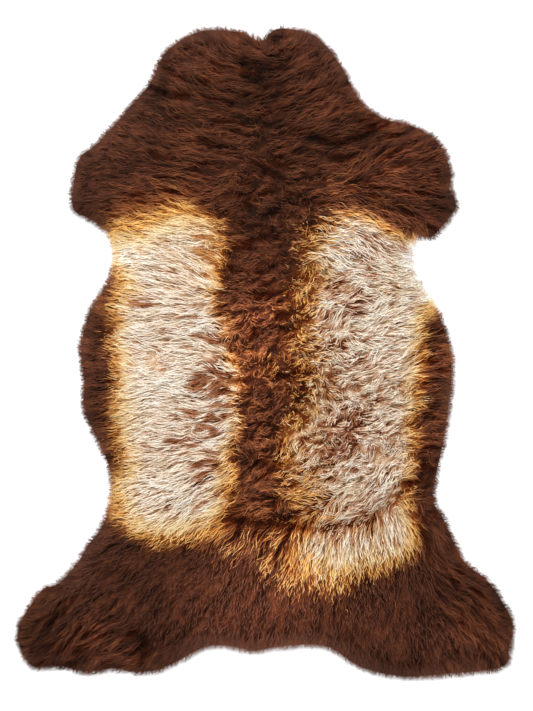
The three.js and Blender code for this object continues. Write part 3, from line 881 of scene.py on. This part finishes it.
def mix_colours(tree, place, factor, first, second, blend="MIX"):
    mix = add_node(tree, "ShaderNodeMix", place, data_type="RGBA", blend_type=blend)
    for name, value in (("Factor", factor), ("A", first), ("B", second)):
        feed(tree, next(s for s in mix.inputs if s.name == name and s.enabled), value)
    return next(s for s in mix.outputs if s.enabled)


def maths(tree, place, operation, *values, clamp=False):
    node = add_node(tree, "ShaderNodeMath", place, operation=operation, use_clamp=clamp)
    for socket, value in zip(node.inputs, values):
        feed(tree, socket, value)
    return node.outputs[0]


def noise_texture(tree, place, scale, detail):
    """Noise in the object's own coordinates."""
    where = add_node(tree, "ShaderNodeTexCoord", (place[0] - 200, place[1])).outputs["Object"]
    texture = add_node(tree, "ShaderNodeTexNoise", place)
    texture.inputs["Scale"].default_value = scale
    texture.inputs["Detail"].default_value = detail
    tree.links.new(where, texture.inputs["Vector"])
    return texture.outputs["Fac"]


def through(tree, place, share, gain, first, middle, last):
    """From the first colour through the middle one to the last, as the share goes from 0 to 1."""
    x, y = place
    lower = maths(tree, (x, y + 300), "MULTIPLY", share, gain, clamp=True)
    upper = maths(tree, (x, y + 450), "MULTIPLY_ADD", share, 2.0, -1.0, clamp=True)
    begun = mix_colours(tree, (x + 100, y), lower, first, middle)
    return mix_colours(tree, (x + 200, y), upper, begun, last)


def fleece_material():
    """Wool coloured from root to tip, in the shares that the strands carry, and darkened or lightened by
    their light mask, which holds painted shade and a painted glow.
    """
    material, tree, shader = new_material("fleece")
    along, shade, pale, amber, tone_and_shade, light = [
        add_node(tree, "ShaderNodeAttribute", (-1400, 300 - 200 * k), attribute_name=mask).outputs["Fac"]
        for k, mask in enumerate(("along", "shade", "pale", "amber", "tone_and_shade", "light"))
    ]
    brown = colour_ramp(tree, (-1100, 400), along, [
        (0.0, (22, 11, 8)), (0.35, (49, 26, 19)), (0.75, (69, 40, 29)), (1.0, (91, 55, 42)),
    ])
    russet = colour_ramp(tree, (-1100, 200), along, [
        (0.0, (34, 15, 8)), (0.35, (84, 40, 22)), (0.75, (112, 58, 33)), (1.0, (134, 74, 44)),
    ])
    rust = colour_ramp(tree, (-1100, 100), along, [
        (0.0, (56, 24, 10)), (0.35, (112, 58, 26)), (0.75, (145, 84, 47)), (1.0, (167, 103, 64)),
    ])
    gold = colour_ramp(tree, (-1100, 0), along, [
        (0.0, (96, 46, 18)), (0.4, (196, 124, 54)), (0.75, (236, 180, 100)), (1.0, (248, 210, 140)),
    ])
    tan = colour_ramp(tree, (-1100, -400), along, [
        (0.0, (90, 44, 24)), (0.35, (146, 82, 52)), (0.75, (180, 114, 82)), (1.0, (202, 142, 110)),
    ])
    cream = colour_ramp(tree, (-1100, -200), along, [
        (0.0, (156, 102, 68)), (0.35, (223, 191, 158)), (0.7, (247, 234, 214)), (1.0, (255, 252, 243)),
    ])
    warmth = maths(tree, (-1100, 600), "MULTIPLY_ADD", shade, 0.9, 0.4, clamp=True)
    dark = mix_colours(tree, (-900, 300), warmth, brown, russet)
    deep = through(tree, (-800, 200), amber, 2.6, dark, rust, gold)
    halfway = mix_colours(tree, (-600, 0), amber, tan, gold)
    buttery = maths(tree, (-800, -150), "MULTIPLY", amber, 0.75)
    light_wool = mix_colours(tree, (-600, -150), buttery, cream, BUTTER)
    coat = through(tree, (-500, 200), pale, 2.0, deep, halfway, light_wool)
    fibre = noise_texture(tree, (-1200, -900), 330, 2)
    flecked = maths(tree, (-1000, -900), "MULTIPLY_ADD", fibre, 1.1, 0.45)
    light = maths(tree, (-700, -500), "MULTIPLY", light, flecked)
    # The light mask darkens or lightens the colour, with painted shade in the gaps and partings and a
    # painted glow at the rim, warmer where it is darker.
    dimmed = add_node(tree, "ShaderNodeCombineColor", (-400, -300))
    for socket, power in zip(dimmed.inputs, DIMMING):
        dimming = maths(tree, (-550, -300), "POWER", light, power)
        tree.links.new(maths(tree, (-450, -300), "MULTIPLY", dimming, tone_and_shade), socket)
    coat = mix_colours(tree, (-200, 100), 1.0, coat, dimmed.outputs[0], "MULTIPLY")
    tree.links.new(coat, shader.inputs["Base Color"])
    shader.inputs["Roughness"].default_value = 0.6
    shader.inputs["Specular IOR Level"].default_value = 0.12
    shader.inputs["Specular Tint"].default_value = (1.0, 0.72, 0.5, 1)
    shader.inputs["Sheen Weight"].default_value = 0.03
    return material


def suede_material():
    material, tree, shader = new_material("suede")
    clouds = noise_texture(tree, (-1000, 200), 9, 5)
    skin = colour_ramp(tree, (-700, 200), clouds, [
        (0.3, (196, 172, 138)), (0.55, (216, 196, 164)), (0.75, (228, 212, 184)),
    ])
    nap = noise_texture(tree, (-1000, -200), 900, 3)
    bump = add_node(tree, "ShaderNodeBump", (-400, -200))
    bump.inputs["Strength"].default_value = 0.4
    bump.inputs["Distance"].default_value = 0.0006
    tree.links.new(nap, bump.inputs["Height"])
    tree.links.new(skin, shader.inputs["Base Color"])
    tree.links.new(bump.outputs["Normal"], shader.inputs["Normal"])
    shader.inputs["Roughness"].default_value = 0.9
    shader.inputs["Sheen Weight"].default_value = 0.3
    return material


def deselect_all():
    for thing in bpy.context.selected_objects:
        thing.select_set(False)


def place_on_ring(piece, inset):
    """Moves a flat piece's rim onto the outline, drawn in by inset."""
    mesh = piece.data
    co = get_points(mesh)
    uses = {}
    for face in mesh.polygons:
        for key in face.edge_keys:
            uses[key] = uses.get(key, 0) + 1
    rim = sorted({v for key, n in uses.items() if n == 1 for v in key})
    for _ in range(3):
        x, y = co[rim, 0] / MM, co[rim, 1] / MM
        off = depth_in(x, y) - inset
        co[rim, 0] += off * outward_x(x, y) * MM
        co[rim, 1] += off * outward_y(x, y) * MM
    set_points(mesh, co)


def flat_sheet(name, step, inset):
    """A flat grid trimmed to the hide's shape."""
    deselect_all()
    width, length = SHEET_SIZE
    bpy.ops.mesh.primitive_grid_add(
        x_subdivisions=round(width / step),
        y_subdivisions=round(length / step),
        size=1,
    )
    piece = bpy.context.object
    piece.name = name
    piece.data.name = name
    piece.scale = (width * MM, length * MM, 1)
    bpy.ops.object.transform_apply(location=False, rotation=False, scale=True)
    bpy.ops.object.mode_set(mode="EDIT")
    bpy.ops.mesh.select_all(action="DESELECT")
    bpy.ops.object.mode_set(mode="OBJECT")
    centres = np.array([face.center[:2] for face in piece.data.polygons]) / MM
    outside = depth_in(*centres.T) < inset + step * 0.3
    piece.data.polygons.foreach_set("select", outside)
    bpy.ops.object.mode_set(mode="EDIT")
    bpy.ops.mesh.delete(type="FACE")
    bpy.ops.object.mode_set(mode="OBJECT")
    place_on_ring(piece, inset)
    return piece


def thicken(piece, thickness):
    """Makes a flat piece solid, from its own level upwards."""
    solid = piece.modifiers.new("thickness", "SOLIDIFY")
    solid.thickness = thickness * MM
    solid.offset = 1
    bpy.ops.object.modifier_apply(modifier=solid.name)


def make_hide():
    """The tanned skin, flesh side down."""
    hide = flat_sheet("hide", 16, HIDE_INSET)
    thicken(hide, HIDE_THICKNESS)
    return hide


def make_under_wool():
    """The dense wool close to the skin, which shows only between the locks."""
    wool = flat_sheet("under_wool", 7, UNDER_INSET)
    thicken(wool, 5)
    mesh = wool.data
    co = get_points(mesh)
    x, y = co[:, 0] / MM, co[:, 1] / MM
    top = co[:, 2] > 2 * MM
    furrow = furrow_at(x, y)
    height = HIDE_THICKNESS + (wool_height(x, y) - HIDE_THICKNESS) * UNDER_WOOL * (1 - 0.4 * furrow)
    co[:, 2] = np.where(top, height, HIDE_THICKNESS) * MM
    set_points(mesh, co)
    pale, amber, roan = coat_at(x, y)
    streaks = np.clip(fine_streaks(x, y), -1.5, 1.5)
    brown_streaks = np.where(x > 10, mottle(x, y), roan_streaks(x, y))
    brown = smooth((1.5 * roan - 0.75 + 0.3 * brown_streaks) * 2.2 + 0.5)
    curl = curl_at(x, y)
    # Painted shade: the under-wool is darkened as the shade between the locks, more in the furrows, the
    # partings and the curly amber-brown wool, and less towards the rim. The spots table also adds
    # painted shade in some hollows.
    light = 0.72 + 0.28 * smooth(1 - depth_in(x, y) / 25) + 0.1 * pale + 0.25 * streaks
    light = light * (1 - 0.7 * furrow) * (1 - painted_crease_shade(x, y))
    masks = {
        "pale": pale * (1 - 0.8 * brown),
        "amber": (0.8 - 0.45 * curl) * amber,
        "along": 0.3 + 0.12 * streaks - 0.05 * amber * (1 - pale),
        "shade": 0.3 * streaks,
        "light": light * (1 - (0.2 + 0.3 * curl) * amber * (1 - pale)),
        "tone_and_shade": 1 + (tone_and_shade_at(x, y) - 1) * (1 - 0.85 * pale),
    }
    store_masks(mesh, masks)
    mesh.shade_smooth()
    return wool


def make_fleece():
    """The combed wool, as five bands from the neck to the rump."""
    wool = grow_wool()
    order = np.argsort(-wool["line"][0, :, 1], kind="stable")
    names = ["neck", "shoulders", "back", "loin", "rump"]
    bands = np.array_split(order, len(names))
    return [strands_piece("fleece_" + name, wool, band) for name, band in zip(names, bands)]


hide = make_hide()
under_wool = make_under_wool()
fleece = make_fleece()

fleece_look = fleece_material()
hide.data.materials.append(suede_material())
for piece in [under_wool, *fleece]:
    piece.data.materials.append(fleece_look)
for piece in [hide, under_wool, *fleece]:
    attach(piece, "root")
    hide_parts(NODE)

# The floor, a soft light from above, and a camera that looks straight down
FLOOR_SIZE = 6.0
CAMERA_HEIGHT = 3.2
PICTURE_HEIGHT = 711 * 1.6 * MM  # what the picture takes in, from top to bottom
PICTURE_MIDDLE = (-3.2 * MM, -1.6 * MM)


def make_stage():
    deselect_all()
    bpy.ops.mesh.primitive_plane_add(size=FLOOR_SIZE, location=(0, 0, 0))
    floor = bpy.context.object
    floor.name = "floor"
    material, tree, shader = new_material("floor_paint")
    shader.inputs["Base Color"].default_value = (0.94, 0.94, 0.94, 1)
    shader.inputs["Roughness"].default_value = 0.9
    shader.inputs["Emission Color"].default_value = (1, 1, 1, 1)
    shader.inputs["Emission Strength"].default_value = 0.25
    floor.data.materials.append(material)

    world = bpy.data.worlds.new("studio")
    bpy.context.scene.world = world
    world.use_nodes = True
    background = world.node_tree.nodes["Background"]
    background.inputs["Color"].default_value = (1, 1, 1, 1)
    background.inputs["Strength"].default_value = 0.8

    lamp = bpy.data.lights.new("softbox", "AREA")
    lamp.shape = "RECTANGLE"
    lamp.size = 2.4
    lamp.size_y = 1.6
    lamp.energy = 85
    softbox = bpy.data.objects.new("softbox", lamp)
    softbox.location = (-0.9, 1.5, 2.6)
    softbox.rotation_euler = (math.radians(-30), math.radians(-19), 0)
    bpy.context.scene.collection.objects.link(softbox)


def make_camera():
    lens = bpy.data.cameras.new("camera")
    lens.sensor_fit = "VERTICAL"
    lens.sensor_height = 36
    lens.lens = 36 * CAMERA_HEIGHT / PICTURE_HEIGHT
    camera = bpy.data.objects.new("camera", lens)
    camera.location = (*PICTURE_MIDDLE, CAMERA_HEIGHT)
    bpy.context.scene.collection.objects.link(camera)
    bpy.context.scene.camera = camera


make_stage()
make_camera()
bpy.context.scene.view_settings.view_transform = "Standard"
